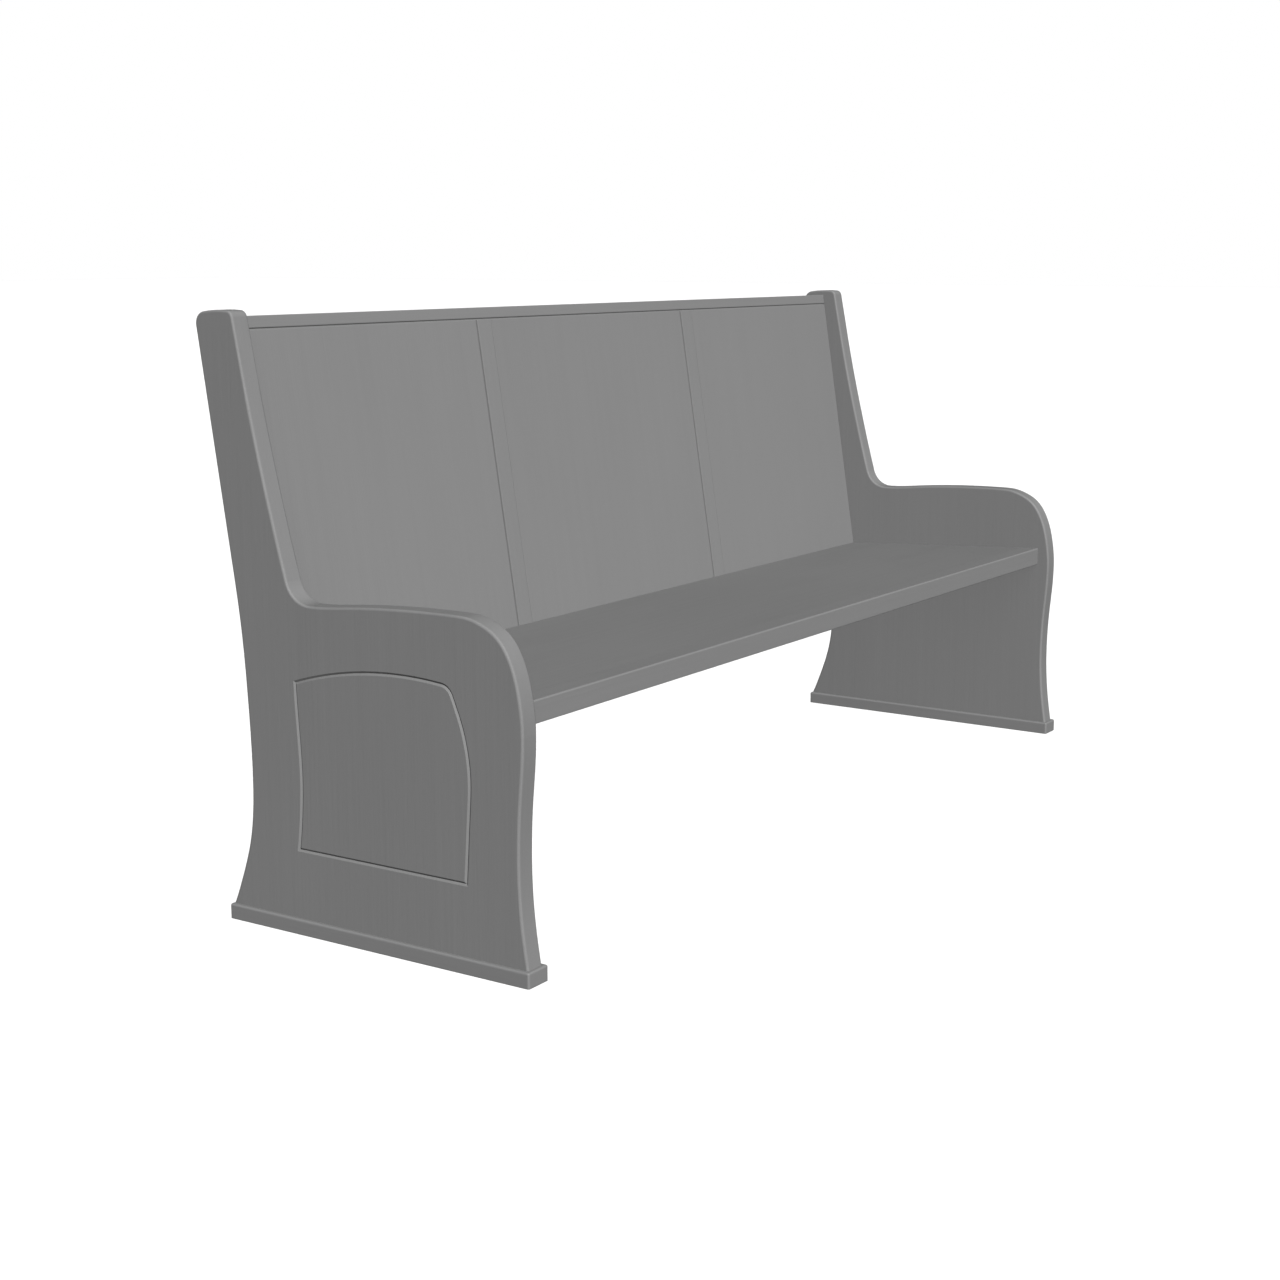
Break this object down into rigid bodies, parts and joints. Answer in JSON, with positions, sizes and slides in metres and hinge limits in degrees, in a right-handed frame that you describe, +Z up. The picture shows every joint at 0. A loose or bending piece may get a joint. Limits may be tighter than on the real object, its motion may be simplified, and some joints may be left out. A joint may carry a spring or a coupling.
{
  "type": "church pew",
  "caption": "Straight church pew with shaped solid ends on base shoes, routed field line, sloping seat, leaning panelled back and a cap rail, painted grey.",
  "frame": {"origin": "on the floor under the middle of the overall box", "axes": "+X along the pew towards its right end as seen from the front, -Y towards the front, +Z up"},
  "size_m": [2.123, 0.6765, 1.0379],
  "materials": {
    "end_paint": "satin grey paint over timber, faint grain",
    "seat_paint": "satin grey paint over timber, faint grain",
    "panel_paint": "satin grey paint over timber, faint grain",
    "rail_paint": "satin grey paint over timber, faint grain",
    "frame_paint": "satin grey paint over timber, faint grain",
    "bare_beech": "bare beech, hidden",
    "zinc_steel": "zinc-plated steel"
  },
  "bodies": {
    "root": {"left_end_panel": "end_paint", "right_end_panel": "end_paint", "left_base_shoe": "end_paint", "right_base_shoe": "end_paint", "seat_board": "seat_paint", "seat_nosing": "seat_paint", "back_panel_left": "panel_paint", "back_panel_middle": "panel_paint", "back_panel_right": "panel_paint", "left_back_stile": "panel_paint", "right_back_stile": "panel_paint", "back_cap_rail": "rail_paint", "back_top_rail": "frame_paint", "back_bottom_rail": "frame_paint", "left_stile_batten": "frame_paint", "right_stile_batten": "frame_paint", "left_back_cleat": "frame_paint", "right_back_cleat": "frame_paint", "left_seat_cleat": "frame_paint", "right_seat_cleat": "frame_paint", "seat_rear_ledger": "frame_paint", "left_seat_knee": "frame_paint", "right_seat_knee": "frame_paint", "cap_rail_dowels": "bare_beech", "cap_end_dowels": "bare_beech", "seat_end_dowels": "bare_beech", "base_shoe_screws": "zinc_steel", "seat_cleat_screws": "zinc_steel", "seat_board_screws": "zinc_steel", "back_cleat_screws": "zinc_steel", "ledger_screws": "zinc_steel", "panel_screws": "zinc_steel", "knee_back_screws": "zinc_steel", "knee_seat_screws": "zinc_steel"}
  },
  "joints": []
}
